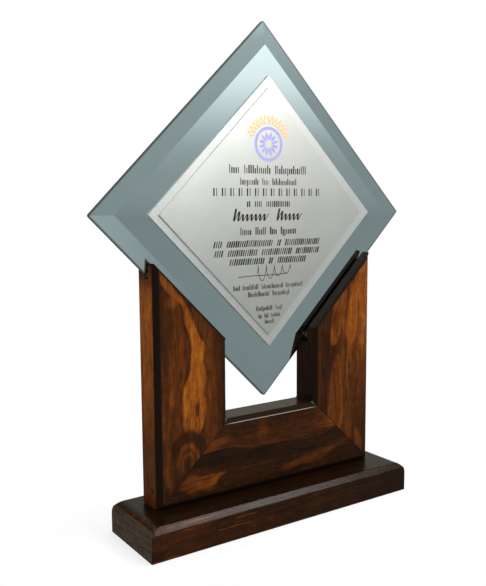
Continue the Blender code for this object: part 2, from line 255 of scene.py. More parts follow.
def left_stile_tone(g, f):
    """A golden tongue up the board with a dark outline and an eye, over rings round an arch."""
    tone = g.curve(f.x, [(-100, 0.24), (-92, 0.33), (-84, 0.40), (-66, 0.42), (-58, 0.36), (-50, 0.24),
                         (-41, 0.09)])
    tone = g.minus(tone, g.times(g.step(f.z, 118, 180), 0.10))
    tone = g.blend(tone, 0.26, g.times(g.step(f.z, 80, 68), 0.75))
    middle = [(68, -72), (80, -70.5), (88, -69.5), (96, -68.5), (104, -69.4), (112, -68.6),
              (120, -66.6), (128, -66.6), (136, -65.6), (143, -67.4), (152, -71.4), (158, -73.4),
              (165, -75), (172, -80), (178, -86), (190, -93)]
    contour = f.ribbon(f.x, f.z, middle, [
        (70, 5), (80, 10), (88, 11), (96, 11), (112, 10), (120, 9), (128, 7.6), (136, 8.4), (143, 7.4),
        (152, 6.0), (165, 4.6), (176, 5), (190, 5)])
    tone = g.blend(tone, 0.18, g.times(contour, 0.75))
    ribbon = f.ribbon(f.x, f.z, middle, [
        (70, 3), (76, 6), (80, 7.6), (88, 8.8), (96, 9.4), (104, 8.6), (112, 8.2), (120, 6.8), (128, 6.0),
        (136, 6.6), (143, 5.4), (152, 3.8), (158, 3.6), (165, 2.6), (172, 2.4), (178, 3.0), (190, 3.5)])
    gold = g.curve(f.z, [(72, 0.66), (84, 0.76), (100, 0.84), (150, 0.84), (162, 0.70), (185, 0.62)])
    tone = g.blend(tone, gold, ribbon)
    tone = g.blend(tone, 0.58, f.spot(-88.6, 102, 1.6, 6.5, soft=0.6))
    tone = g.blend(tone, 0.55, f.spot(-95.0, 86, 1.8, 10.0, soft=0.6))
    tone = g.blend(tone, 0.60, g.times(f.spot(-86, 172, 6.0, 5.0, turn=30, soft=0.6), 0.7))
    glow = g.times(g.step(f.x, -64, -59), g.step(f.x, -47, -54))
    glow = g.times(glow, g.step(f.z, 158, 140))
    tone = g.blend(tone, 0.50, g.times(glow, 0.45))
    eye = f.spot(-67.2, 93, 3.6, 9.5, turn=-6, soft=0.5)
    tone = g.blend(tone, 0.66, g.times(eye, 0.6))
    tone = g.blend(tone, 0.34, f.spot(-67.0, 92.5, 1.9, 5.0, turn=-6, soft=0.5))
    reach = f.arch(-75.0, 55, 0.66)
    rings = g.curve(reach, [(0, 0.16), (3.0, 0.22), (4.4, 0.40), (5.8, 0.24), (7.2, 0.42), (8.8, 0.46),
                            (10.0, 0.22), (12.0, 0.15), (14.5, 0.16), (16.5, 0.34), (18.5, 0.50)])
    zone = g.times(g.step(reach, 18.5, 14.0), g.step(f.z, 36, 52))
    tone = g.blend(tone, rings, g.times(zone, 0.9))
    tone = g.blend(tone, 0.12, g.times(g.step(f.z, 56, 38), 0.7))
    return g.blend(tone, 0.40, f.spot(-90.0, 50, 3.4, 12.0, soft=0.6))


def right_stile_tone(g, f):
    """Golden sapwood along the outer edge, a tongue beside it and a lighter patch low down."""
    tone = g.curve(f.x, [(41, 0.12), (46, 0.22), (50, 0.16), (56, 0.16), (62, 0.22), (70, 0.34),
                         (78, 0.34), (100, 0.34)])
    tone = g.blend(tone, 0.46, g.times(g.step(f.z, 140, 168), 0.45))
    edge = g.curve(f.z, [(30, 80), (73, 79), (90, 78.5), (118, 75), (131, 73), (148, 73.5), (166, 78),
                         (185, 84)])
    gold = g.curve(f.z, [(30, 0.22), (60, 0.25), (95, 0.34), (107, 0.42), (118, 0.56), (130, 0.70),
                         (150, 0.76), (166, 0.78), (178, 0.70), (190, 0.70)])
    tone = g.blend(tone, gold, g.step(g.minus(f.x, edge), -1.0, 3.5))
    vein = f.ribbon(f.x, f.z, [(70, 85), (110, 84), (150, 87), (170, 86)],
                    [(70, 2.5), (110, 2.5), (150, 1.2), (170, 0.2)])
    tone = g.blend(tone, 0.25, g.times(vein, 0.45))
    tongue = f.ribbon(f.x, f.z, [(125, 60), (133, 61.5), (145, 64), (160, 68)],
                      [(125, -1.5), (131, 4.5), (145, 6.0), (160, 7)])
    tone = g.blend(tone, 0.60, tongue)
    tone = g.blend(tone, 0.38, g.times(tongue, f.spot(62, 146, 3.5, 10, soft=0.6)))
    tone = g.blend(tone, 0.66, g.times(f.spot(72.5, 141, 3.2, 9, turn=8, soft=0.5), 0.7))
    lower = f.ribbon(f.x, f.z, [(56, 64.6), (71, 62.5), (87, 62.5), (106, 64), (119, 65.5)],
                     [(56, 3), (66, 7.5), (87, 7), (106, 5), (119, -1)])
    tone = g.blend(tone, 0.46, lower)
    rim = f.ribbon(f.x, f.z, [(58, 66), (70, 69.5), (84, 69.5), (100, 70.5)],
                   [(58, 1.5), (70, 1.0), (84, 0.7), (100, 0.2)], soft=0.8)
    tone = g.blend(tone, 0.66, g.times(rim, 0.7))
    line = f.ribbon(f.x, f.z, [(68, 78.6), (84, 77.4), (98, 75.6), (130, 77.5), (160, 79)],
                    [(68, 0.2), (84, 0.7), (98, 0.7), (130, 0.5), (160, 0.3)], soft=0.6)
    tone = g.blend(tone, 0.70, g.times(line, 0.6))
    return g.blend(tone, 0.46, f.spot(88.5, 43, 3.2, 9, turn=18, soft=0.5))


def rail_tone(g, f):
    """Dark, with a darker band under a pale line, a golden wedge at the left and a streak at the right."""
    tone = g.curve(f.z, [(24, 0.06), (28, 0.12), (33, 0.13), (40, 0.11), (46, 0.13), (50, 0.10), (56, 0.17),
                         (62, 0.21), (70, 0.17), (76, 0.14), (81, 0.12)])
    tone = g.blend(tone, 0.34, g.times(f.spot(-10, 66, 4.5, 10, soft=0.6), 0.8))
    tone = g.blend(tone, 0.38, f.spot(-52, 64.0, 11, 5.0, turn=12, soft=0.6))
    tone = g.blend(tone, 0.46, g.times(g.step(f.x, 34, 62), g.step(f.z, 55, 61)))
    upper = g.curve(f.x, [(-66, 57.5), (-53, 59.4), (-40, 59.5), (-20, 57), (-2, 57), (19, 55.3),
                          (38, 53.7), (53, 55.8), (66, 60.5)])
    lower = g.curve(f.x, [(-72, 50.5), (-54, 48), (-23, 45.7), (0, 42), (28, 41), (52, 44), (74, 47)])
    light = g.minus(1.0, g.absolute(g.times(g.minus(f.z, upper), 0.9)))
    dark = g.times(g.step(g.minus(upper, f.z), -0.6, 1.2),
                  g.step(g.minus(f.z, lower), -3.0, 3.0))
    tone = g.blend(tone, 0.06, dark)
    tone = g.blend(tone, 0.42, g.times(g.highest(light, 0.0), 0.5))
    wedge = f.ribbon(f.z, f.x, [
        (-84, 36), (-78, 38.4), (-70, 38.2), (-60, 37.4), (-54, 38), (-48, 40.4), (-42, 41.5)], [
        (-84, 1), (-78, 4.6), (-74, 6.8), (-66, 5.6), (-60, 6.2), (-54, 4.6), (-48, 2.0), (-42, -1)],
        soft=1.8)
    gold = g.curve(f.x, [(-84, 0.26), (-74, 0.40), (-60, 0.50), (-50, 0.58), (-42, 0.5)])
    tone = g.blend(tone, gold, wedge)
    vein = f.ribbon(f.z, f.x, [(-84, 41), (-66, 40.4), (-52, 41.8)], [(-84, 0.4), (-66, 0.9), (-52, 0.3)],
                    soft=0.8)
    tone = g.blend(tone, 0.28, g.times(vein, 0.5))
    streak = f.ribbon(f.z, f.x, [(2, 32), (20, 35.0), (45, 37.4), (58, 40.6), (76, 45.5)],
                      [(2, -1), (20, 2.6), (45, 4.0), (58, 2.8), (76, 0.6)], soft=2.5)
    return g.blend(tone, 0.36, streak)


def base_tone(g, f):
    """Dark, and darker to the right, with thin bright streaks that fade out that way."""
    tone = g.curve(f.x, [(-118, 0.12), (-96, 0.17), (-60, 0.13), (-20, 0.10), (30, 0.09), (70, 0.06),
                         (118, 0.02)])
    streaks = g.noise(g.scaled(f.point, (0.045, 1.0, 1.0)), 1.9, detail=3.0, roughness=0.6)
    bright = g.times(g.step(streaks, 0.58, 0.70), g.step(f.x, 60, -90))
    return g.blend(tone, 0.62, bright)


def frame_faces(g, tone, point):
    """The tones of the frame's other faces: outer sides, the window's sides, the back and the tops."""
    x, _, z = g.split(point)
    nx, ny, nz = g.normal()
    upright = g.step(g.absolute(nx), 0.90, 0.98)
    outer = g.times(upright, g.step(g.absolute(x), 95.0, 97.0))
    outer_tone = g.curve(z, [(24, 0.36), (35, 0.42), (55, 0.46), (75, 0.52), (100, 0.70), (130, 0.76),
                             (165, 0.84), (176, 0.82), (186, 0.46), (200, 0.32)])
    tone = g.blend(tone, outer_tone, outer)
    inner = g.times(upright, g.step(g.absolute(x), 60.0, 50.0))
    tone = g.blend(tone, 0.10, inner)
    tone = g.blend(tone, 0.30, g.step(ny, 0.90, 0.98))
    return g.blend(tone, 0.12, g.step(g.absolute(nz), 0.90, 0.98))


def base_faces(g, tone):
    """The tones of the base's top and back."""
    _, ny, nz = g.normal()
    tone = g.blend(tone, -0.05, g.step(nz, 0.90, 0.98))
    return g.blend(tone, 0.22, g.step(ny, 0.90, 0.98))


class Grain:
    """Noise for what is finer than the figure: fibres, pores and the clouds of the stain."""

    def __init__(self, graph, point, along, seed):
        g = self.graph = graph
        self.moved = g.shifted(point, (0.0, seed * 37.0, 0.0))
        bend = g.scaled(g.noise(self.moved, 38.0, detail=1.0, output=1), (7.0, 7.0, 7.0))
        bent = g.shifted(self.moved, bend)

        def drawn_out(vector, share):
            """Stretches what is drawn at the vector along the fibres."""
            return g.scaled(vector, (share, 1.0, 1.0) if along == 'X' else (1.0, 1.0, share))

        fibre = drawn_out(bent, 0.05)
        self.bands = g.noise(fibre, 3.4, detail=3.0, roughness=0.6)
        self.lines = g.noise(fibre, 1.1, detail=2.0, roughness=0.65)
        self.hairs = g.noise(fibre, 0.42, detail=2.0, roughness=0.6)
        self.clouds = g.noise(self.moved, 16.0, detail=4.0, roughness=0.62)
        self.mottle = g.noise(drawn_out(self.moved, 0.55), 4.2, detail=3.0, roughness=0.6)
        self.pores = g.step(g.noise(drawn_out(bent, 0.10), 0.55, detail=1.0), 0.66, 0.74)

    def over(self, tone):
        """The tone with the grain laid over it, stronger where the wood is light."""
        g = self.graph
        contrast = g.total(0.34, g.times(tone, 0.62))
        grain = g.total(g.signed(self.clouds, 0.20), g.signed(self.mottle, 0.30),
                        g.signed(self.bands, 0.40), g.signed(self.lines, 0.40), g.signed(self.hairs, 0.20))
        tone = g.total(tone, g.times(grain, contrast))
        return g.minus(tone, g.times(self.pores, 0.10))

    def height(self):
        g = self.graph
        return g.total(g.times(self.lines, 0.6), g.times(self.hairs, 0.2), g.times(self.mottle, 0.8),
                       g.times(self.pores, -0.5))


def stain_mask(g, point, moved):
    """1 on the chamfers and the seats, creeping a little onto the faces beside them."""
    x, _, z = g.split(point)
    nx, ny, nz = g.normal()
    ragged = g.signed(g.noise(moved, 5.0, detail=3.0), 1.6)
    below_seat = g.times(g.minus(g.total(g.absolute(x), SEAT_LINE), z), DIAGONAL)
    near_seat = g.step(g.total(below_seat, ragged), 2.6, 1.0)
    near_foot = g.times(g.step(g.total(z, ragged), 29.0, 26.0), g.step(g.absolute(nx), 0.9, 0.6))
    near_side = g.times(g.step(g.total(x, g.times(ragged, 0.4)), -95.2, -96.4), g.step(ny, -0.90, -0.98))
    square_on = g.highest(g.absolute(nx), g.absolute(ny), g.absolute(nz))
    return g.highest(g.step(square_on, 0.985, 0.93), near_seat, near_foot, near_side)


def painted_chamfer_highlight(g, point):
    """A painted highlight: a pale line along the front edge of the rail's upper chamfer, standing in for
    the light that edge catches.
    """
    x, _, z = g.split(point)
    _, ny, nz = g.normal()
    turned = g.times(g.step(nz, 0.15, 0.25), g.times(g.step(ny, -0.76, -0.80), g.step(ny, -0.99, -0.97)))
    return g.times(g.times(turned, g.step(g.absolute(x), 46.0, 34.0)), g.step(z, 84.0, 82.0))


def end_grain(g, moved):
    speckle = g.total(g.noise(moved, 0.9, detail=2.0),
                      g.signed(g.noise(g.scaled(moved, (1.0, 0.10, 1.0)), 1.6, detail=3.0), 0.5))
    return g.ramp(speckle, [(0.3, (0.034, 0.025, 0.015)), (0.7, (0.098, 0.074, 0.048))])


def wood(name, along, tone_of, framed, seed):
    """Stained and lacquered timber. Its fibres run along X or Z, and tone_of draws its figure."""
    made, g = material(name, Specular_IOR_Level=0.17, IOR=1.45)
    point = g.millimetres()
    nx, ny, nz = g.normal()
    tone = tone_of(g, Figure(g, point, along))
    tone = frame_faces(g, tone, point) if framed else base_faces(g, tone)
    grain = Grain(g, point, along, seed)
    tone = grain.over(tone)
    gloss = g.total(0.26, g.signed(grain.clouds, 0.10), g.signed(grain.lines, 0.06),
                    g.times(grain.pores, 0.2))
    if framed:
        stain = stain_mask(g, point, grain.moved)
        tone = g.blend(tone, STAIN_TONE, g.times(stain, 0.92))
        # the grey tint here is a painted highlight along the front edge of the rail's upper chamfer
        colour = g.tint(g.ramp(tone, WOOD_TONES), (0.30, 0.29, 0.25, 1.0), painted_chamfer_highlight(g, point))
        dull = g.blend(0.48, 0.85, g.step(ny, -0.3, -0.6))       # the front chamfers are the dullest
        gloss = g.blend(gloss, dull, stain)
        depth = g.minus(1.0, g.highest(stain, g.step(nz, 0.4, 0.65)))
    else:
        ends = g.step(g.absolute(nx), 0.60, 0.80)
        colour = g.tint(g.ramp(tone, WOOD_TONES), end_grain(g, grain.moved), g.times(ends, 0.75))
        depth = 1.0
    g.feed(g.shader["Base Color"], colour)
    g.feed(g.shader["Roughness"], gloss)
    g.feed(g.shader["Normal"], g.bump(g.times(grain.height(), depth), 0.05 * MM, 0.6))
    return made


dress(nodes["left_stile"], wood("walnut_left_stile", 'Z', left_stile_tone, True, 1))
dress(nodes["right_stile"], wood("walnut_right_stile", 'Z', right_stile_tone, True, 2))
dress(nodes["bottom_rail"], wood("walnut_bottom_rail", 'X', rail_tone, True, 3))
dress(nodes["base_board"], wood("walnut_base_board", 'X', base_tone, False, 4))


# ---------------------------------------------------------------- mirror

def mirror_material():
    """Silvered glass of a faint green, its ground edge dark, its back painted grey."""
    made, g = material("silvered_glass", IOR=1.52, Specular_IOR_Level=0.12)
    point = g.millimetres()
    x, _, z = g.split(point)
    _, ny, _ = g.normal()
    front = g.step(ny, -0.60, -0.80)
    back = g.step(ny, 0.60, 0.80)
    clouds = g.total(g.noise(point, 60.0, detail=2.0), g.signed(g.noise(point, 9.0, detail=3.0), 0.35))
    silver = g.ramp(clouds, [(0.15, (0.61, 0.80, 0.80)), (0.85, (0.67, 0.84, 0.86))])
    up = g.minus(z, MIRROR_MIDDLE)
    from_middle = g.times(g.total(g.absolute(x), g.absolute(up)), DIAGONAL)
    rim = g.step(from_middle, 98.6, 99.4)                  # the last of the bevel, up to the edge
    silver = g.tint(silver, (0.16, 0.20, 0.19, 1.0), g.times(rim, 0.75))
    edge = g.ramp(g.noise(point, 1.5), [(0.3, (0.008, 0.014, 0.013)), (0.7, (0.018, 0.030, 0.027))])
    paint = g.ramp(g.noise(point, 9.0, detail=5.0, roughness=0.7),
                   [(0.3, (0.145, 0.150, 0.155)), (0.7, (0.190, 0.195, 0.200))])
    colour = g.tint(g.tint(edge, silver, front), paint, back)
    g.feed(g.shader["Base Color"], colour)
    g.feed(g.shader["Metallic"], front)
    smear = g.times(g.step(g.noise(point, 24.0, detail=4.0, roughness=0.6), 0.55, 0.75), 0.03)
    shine = g.total(0.015, smear)
    g.feed(g.shader["Roughness"], g.blend(g.blend(0.55, shine, front), 0.55, back))
    orange_peel = g.times(g.noise(point, 3.0, detail=3.0), back)
    g.feed(g.shader["Normal"], g.bump(orange_peel, 0.05 * MM, 0.5))
    return made


dress(nodes["bevelled_mirror"], mirror_material())
soften = nodes["bevelled_mirror"].modifiers.new("polished_ridges", 'BEVEL')
soften.limit_method = 'ANGLE'
soften.angle_limit = math.radians(6)
soften.width = 0.2 * MM
soften.segments = 2


# ---------------------------------------------------------------- plates

def metal(name, light, dark, roughness, streak, metallic):
    """Aluminium with a rolled grain as strong as streak; its colour varies between light and dark."""
    made, g = material(name)
    point = g.millimetres()
    x, y, z = g.split(point)
    across = g.times(g.total(x, z), DIAGONAL)
    upward = g.times(g.minus(z, x), DIAGONAL)
    rolled = g.join(g.times(across, 0.04), y, upward)
    fine = g.noise(rolled, 0.45, detail=2.0, roughness=0.6)
    clouds = g.noise(point, 25.0, detail=3.0)
    mix = g.total(0.5, g.signed(fine, 0.4 * streak), g.signed(clouds, 0.35))
    _, ny, _ = g.normal()
    face = g.step(ny, -0.5, -0.9)
    g.feed(g.shader["Metallic"], g.blend(0.2, metallic, face))
    colour = g.ramp(mix, [(0.1, dark), (0.9, light)])
    cut_edge = (0.52, 0.53, 0.52, 1.0)
    g.feed(g.shader["Base Color"], g.tint(cut_edge, colour, face))
    rough = g.total(roughness, g.signed(fine, 0.04 * streak), g.signed(clouds, 0.02))
    g.feed(g.shader["Roughness"], g.blend(0.6, rough, face))
    g.feed(g.shader["Normal"], g.bump(fine, 0.003 * MM, 0.3 * streak))
    return made


def new_piece(name, mesh, finish, smooth=False):
    """Puts the mesh into the scene as a piece that rides with the object."""
    obj = bpy.data.objects.new(name, mesh)
    bpy.context.scene.collection.objects.link(obj)
    mesh.materials.append(finish)
    if smooth:
        mesh.shade_smooth()
        mesh.set_sharp_from_angle(angle=math.radians(35))
    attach(obj, "root")
    return obj


def mesh_from(shape, name):
    mesh = bpy.data.meshes.new(name)
    bmesh.ops.recalc_face_normals(shape, faces=shape.faces)
    shape.to_mesh(mesh)
    shape.free()
    return mesh


mirror_low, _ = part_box("bevelled_mirror")
border_low, border_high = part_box("border_plate")
print_low, print_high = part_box("printed_plate")


TRAY_RIM = 0.7 * MM
TRAY_EASING = 0.05 * MM   # taken off the front edges
TRAY_CLEARANCE = 0.05 * MM


def tray(name, low, high, behind, sheet):
    """A plate as a shallow tray of the given sheet: its rim is turned back to what is behind it."""
    centre = (low + high) / 2
    half = (high.x - low.x) / 2
    front = low.y
    back = behind - TRAY_CLEARANCE
    eased = half - TRAY_EASING * math.sqrt(2)
    inside = half - TRAY_RIM * math.sqrt(2)
    shape = bmesh.new()

    def loop(reach, y):
        corners = ((0, 1), (1, 0), (0, -1), (-1, 0))
        return [shape.verts.new((centre.x + reach * cx, y, centre.z + reach * cz)) for cx, cz in corners]

    loops = [loop(eased, front), loop(half, front + TRAY_EASING), loop(half, back), loop(inside, back),
             loop(inside, front + sheet)]
    for first, second in zip(loops, loops[1:]):
        for i in range(4):
            shape.faces.new((first[i], first[(i + 1) % 4], second[(i + 1) % 4], second[i]))
    shape.faces.new(loops[0])
    shape.faces.new(loops[-1])
    return mesh_from(shape, name)


satin = metal("satin_aluminium", (0.86, 0.90, 0.86), (0.82, 0.86, 0.83), 0.295, 0.0, 0.88)
matt = metal("printed_aluminium", (0.83, 0.86, 0.815), (0.76, 0.79, 0.745), 0.325, 0.5, 1.0)
border_mesh = tray("border_tray", border_low, border_high, mirror_low.y, 0.55 * MM)
border_tray = new_piece("border_tray", border_mesh, satin)
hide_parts("border_plate")
print_mesh = tray("print_tray", print_low, print_high, border_low.y, 0.45 * MM)
print_tray = new_piece("print_tray", print_mesh, matt)
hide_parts("printed_plate")


# ---------------------------------------------------------------- print

INK_BACK = print_low.y + 0.02 * MM
INK_FRONT = print_low.y - 0.04 * MM
PRINT_X = 0.9             # millimetres, the middle line of the print


class Ink:
    """Flat printed shapes, gathered in one mesh. Places are x and z in millimetres."""

    def __init__(self):
        self.shape = bmesh.new()

    def patch(self, corners):
        back = [self.shape.verts.new((x * MM, INK_BACK, z * MM)) for x, z in corners]
        front = [self.shape.verts.new((x * MM, INK_FRONT, z * MM)) for x, z in corners]
        self.shape.faces.new(front)
        self.shape.faces.new(back[::-1])
        for i in range(len(corners)):
            j = (i + 1) % len(corners)
            self.shape.faces.new((back[i], back[j], front[j], front[i]))

    def tick(self, x, low, high, width, lean=0.0):
        """An upright mark, or a slanted one: lean is how far it leans for each millimetre of height."""
        bottom, top = x + lean * low, x + lean * high
        self.patch([(bottom, low), (bottom + width, low), (top + width, high), (top, high)])

    def ring(self, x, z, outer, inner, steps=48, start=0.0, end=360.0):
        """A flat ring, or a part of one from start to end in degrees."""
        whole = end - start >= 360
        count = steps if whole else steps + 1
        turns = [math.radians(start + (end - start) * i / steps) for i in range(count)]
        pairs = zip(turns, turns[1:] + turns[:1]) if whole else zip(turns, turns[1:])
        for a, b in pairs:
            self.patch([(x + r * math.cos(t), z + r * math.sin(t))
                        for r, t in ((outer, a), (outer, b), (inner, b), (inner, a))])

    def leaf(self, x, z, length, width, turn):
        """A pointed leaf that starts at x, z."""
        c, s = math.cos(turn), math.sin(turn)
        outline = [(0, 0), (0.3, 0.42), (0.6, 0.42), (1, 0), (0.6, -0.42), (0.3, -0.42)]
        self.patch([(x + c * u * length - s * v * width, z + s * u * length + c * v * width)
                    for u, v in outline])

    def stroke(self, points, width):
        """A pen line through the points, as one short patch after another."""
        for (x0, z0), (x1, z1) in zip(points, points[1:]):
            length = math.hypot(x1 - x0, z1 - z0) or 1.0
            ox, oz = -(z1 - z0) / length * width / 2, (x1 - x0) / length * width / 2
            self.patch([(x0 - ox, z0 - oz), (x1 - ox, z1 - oz), (x1 + ox, z1 + oz), (x0 + ox, z0 + oz)])

    def finish(self, name, finish):
        return new_piece(name, mesh_from(self.shape, name), finish)


def ink_material(name, dark, light, metallic=0.0):
    made, g = material(name, Metallic=metallic, Specular_IOR_Level=0.35)
    point = g.millimetres()
    fine = g.signed(g.noise(point, 0.5, detail=2.0), 0.4)
    broad = g.signed(g.noise(point, 7.0), 0.3)
    speckle = g.total(0.5, fine, broad)
    g.feed(g.shader["Base Color"], g.ramp(speckle, [(0.2, dark), (0.8, light)]))
    g.feed(g.shader["Roughness"], g.total(0.42, g.signed(speckle, 0.08)))
    return made


# Rows of plain ticks stand for the lines of print: height of the row's foot, its width, the height of
# its ticks, the lean, the share of the pitch that is inked, how many ticks each group has, and whether
# all the ticks are tall.
ROWS = [
    (261.2, 71.5, 6.2, 0.0, 0.62, (5, 13, 16), False),
    (252.9, 52.6, 5.0, 0.0, 0.60, (11, 4, 15), False),
    (236.6, 40.4, 4.4, 0.0, 0.62, (2, 4, 13), True),
    (216.0, 52.4, 5.6, 0.0, 0.64, (6, 6, 4, 9), False),
    (207.2, 98.8, 4.9, 0.28, 0.64, (4, 22, 2, 18), True),
    (200.5, 97.4, 4.9, 0.28, 0.64, (4, 14, 15, 12), True),
    (193.9, 71.4, 4.9, 0.28, 0.64, (16, 2, 14), True),
    (175.0, 65.4, 3.9, 0.0, 0.62, (5, 12, 17, 14), False),
    (169.4, 39.0, 3.9, 0.0, 0.62, (16, 13), False),
    (158.4, 24.8, 3.6, 0.0, 0.62, (12, 5), False),
    (152.9, 21.0, 3.5, 0.0, 0.62, (4, 4, 9), False),
    (148.2, 8.8, 3.4, 0.0, 0.62, (7,), False),
]
GROUP_GAP = 2             # pitches between one group and the next
TALL_SHARE = 0.24         # of the ticks in a mixed row, the first of each group apart
LOW_SHARE = 0.07          # of those ticks, reaching below the row's foot


def print_rows(ink):
    for foot, width, height, lean, inked, groups, all_tall in ROWS:
        pitch = width / (sum(groups) + GROUP_GAP * (len(groups) - 1))
        x = PRINT_X - width / 2 - lean * (foot + height / 2)
        for group in groups:
            for place in range(group):
                low = foot
                if all_tall:
                    tall = height * random.uniform(0.90, 1.0)
                else:
                    tall = height * random.uniform(0.62, 0.72)
                    kind = random.random()
                    if place == 0 or kind < TALL_SHARE:
                        tall = height
                    elif kind > 1 - LOW_SHARE:
                        low = foot - 0.25 * height
                thick = pitch * inked * random.uniform(0.55, 1.15)
                ink.tick(x + (pitch - thick) / 2, low, foot + tall, thick, lean)
                x += pitch
            x += GROUP_GAP * pitch


def print_heading(ink):
    """A widely spaced row of upright ticks, every one with a thin one beside it."""
    count, width, foot, height = 14, 98.0, 244.6, 5.8
    thick, thin, spacing = 1.15, 0.6, 2.6
    for i in range(count):
        x = PRINT_X - width / 2 + (width - 3.4) * i / (count - 1)
        ink.tick(x, foot, foot + height, thick)
        ink.tick(x + spacing, foot, foot + height, thin)


def print_flourish(ink):
    """Two slanted pen waves, thick on the way down and thin on the way up."""
    foot, pitch, lean, steps = 226.4, 3.9, 0.42, 12
    first_rise, rise = 9.0, 5.0
    for start, waves in ((-32.5, 8), (7.0, 6)):
        points = []
        for i in range(waves * steps + 1):
            turn = i / steps
            tall = first_rise + (rise - first_rise) * min(1.0, max(0.0, turn - 0.6) / 0.8)
            up = tall * (0.5 + 0.5 * math.cos(math.tau * turn))
            points.append((start + pitch * turn + lean * up, foot + up))
        for here, there in zip(points, points[1:]):
            falling = there[1] < here[1]
            ink.stroke([here, there], 1.7 if falling else 0.6)


def print_signature(ink):
    """A pen squiggle: a level line crossed by a fading wave."""
    z = 185.0
    ink.stroke([(-27, z), (-14, z + 0.4), (4, z + 0.2), (18, z + 0.8)], 0.55)
    wave = []
    steps = 89
    for i in range(steps + 1):
        share = i / steps
        turn = share * 9 * math.tau / 2
        reach = 6.5 * (1 - 0.55 * share)
        wave.append((-11 + 34 * share + 1.2 * math.cos(turn), z + 1.5 + 3 * share + reach * math.sin(turn)))
    ink.stroke(wave, 0.45)


def print_seal():
    """A plain rosette in a round ring, under a half circle of laurel leaves."""
    x, z = PRINT_X, 283.0
    blue = Ink()
    blue.ring(x, z, 12.8, 10.6)
    for i in range(12):
        turn = math.tau * (i + 0.5) / 12
        blue.leaf(x + 2.6 * math.cos(turn), z + 2.6 * math.sin(turn), 6.8, 2.7, turn)
    gold = Ink()
    for i in range(13):
        turn = math.radians(24 + 11 * i)
        for reach, tilt in ((14.6, 0.5), (17.2, -0.1)):
            lean = tilt if i > 6 else -tilt
            gold.leaf(x + reach * math.cos(turn), z + reach * math.sin(turn), 4.6, 2.3, turn + lean)
    gold.ring(x, z, 15.2, 14.6, start=20, end=160)
    return blue, gold


black = Ink()
print_rows(black)
print_heading(black)
print_flourish(black)
print_signature(black)
black.finish("print_black", ink_material("black_ink", (0.006, 0.006, 0.007), (0.016, 0.016, 0.017)))
seal_blue, seal_gold = print_seal()
seal_blue.finish("print_seal_blue", ink_material("blue_ink", (0.36, 0.36, 0.74), (0.44, 0.44, 0.82), 0.3))
seal_gold.finish("print_seal_gold", ink_material("gold_ink", (0.96, 0.58, 0.26), (1.00, 0.68, 0.36), 0.3))


# ---------------------------------------------------------------- silicone

def silicone_material():
    made, g = material("black_silicone", Specular_IOR_Level=0.5, Coat_Weight=0.3, Coat_Roughness=0.08)
    point = g.millimetres()
    clouds = g.noise(point, 1.2, detail=4.0)
    black = g.ramp(clouds, [(0.3, (0.008, 0.008, 0.009)), (0.7, (0.022, 0.022, 0.022))])
    g.feed(g.shader["Base Color"], black)
    g.feed(g.shader["Roughness"], g.total(0.30, g.signed(clouds, 0.15)))
    g.feed(g.shader["Normal"], g.bump(clouds, 0.1 * MM, 0.5))
    return made


silicone = silicone_material()
CORNER_RADIUS = 1.5 * MM
TIP_Z = mirror_low.z - CORNER_RADIUS * (math.sqrt(2) - 1)      # where the mirror's sharp corner would be

RUN_START = 60.5 * MM     # how far up the mirror's edge the even run of blobs starts, and where it ends
RUN_END = 138 * MM
RUN_STEP = 1.5 * MM

# Blobs at both ends of a bead, in millimetres: how far up the mirror's edge each one is, its height above
# that edge, its y and its radius.
END_BLOBS = [
    (60.2, 0.4, 3.5, 1.5), (59.4, 2.6, 2.9, 1.25), (59.8, -1.0, 5.8, 1.2), (58.9, 0.6, 2.6, 0.9),
    (138.4, 1.4, 3.4, 1.5), (139.0, 3.6, 3.2, 1.1), (138.2, -0.6, 5.4, 1.3), (140.2, 0.4, 3.9, 1.5),
    (140.2, 2.8, 3.5, 1.3), (140.0, 5.0, 3.4, 1.1), (140.4, -0.8, 6.2, 1.2), (140.2, 1.2, 7.2, 1.2),
    (141.0, 1.6, 5.6, 1.6), (141.0, 4.2, 5.0, 1.5), (141.0, 6.6, 4.6, 1.3),
]


def silicone_bead(side, word):
    """Silicone along the groove: a run of blobs, larger where it was squeezed out at the ends."""

    def place(run, height, y):
        return Vector((side * (run - height), 0, run + height)) / math.sqrt(2) + Vector((0, y, TIP_Z))

    blobs = []
    run = RUN_START
    while run < RUN_END:
        middle = place(run, random.uniform(1.6, 2.4) * MM, 3.35 * MM)
        blobs.append((middle, random.uniform(1.15, 1.3) * MM))
        blobs.append((place(run, -0.75 * MM, random.uniform(4.2, 5.6) * MM), 0.95 * MM))
        run += RUN_STEP
    for run, height, y, radius in END_BLOBS:
        blobs.append((place(run * MM, height * MM, y * MM), radius * MM))
    shape = bmesh.new()
    for middle, radius in blobs:
        bmesh.ops.create_icosphere(shape, subdivisions=2, radius=radius, matrix=Matrix.Translation(middle))
    mesh = bpy.data.meshes.new(word + "_silicone")
    shape.to_mesh(mesh)
    shape.free()
    obj = bpy.data.objects.new(word + "_silicone", mesh)
    bpy.context.scene.collection.objects.link(obj)
    remesh = obj.modifiers.new("join", 'REMESH')
    remesh.mode = 'VOXEL'
    remesh.voxel_size = 0.34 * MM
    relax = obj.modifiers.new("relax", 'SMOOTH')
    relax.factor = 0.6
    relax.iterations = 3
    joined = bpy.data.meshes.new_from_object(obj.evaluated_get(bpy.context.evaluated_depsgraph_get()))
    bpy.data.objects.remove(obj)
    joined.name = word + "_silicone"
    piece = new_piece(word + "_silicone", joined, silicone, smooth=True)
    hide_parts(word + "_silicone_bead")


silicone_bead(-1, "left")
silicone_bead(1, "right")


# ---------------------------------------------------------------- small hardware

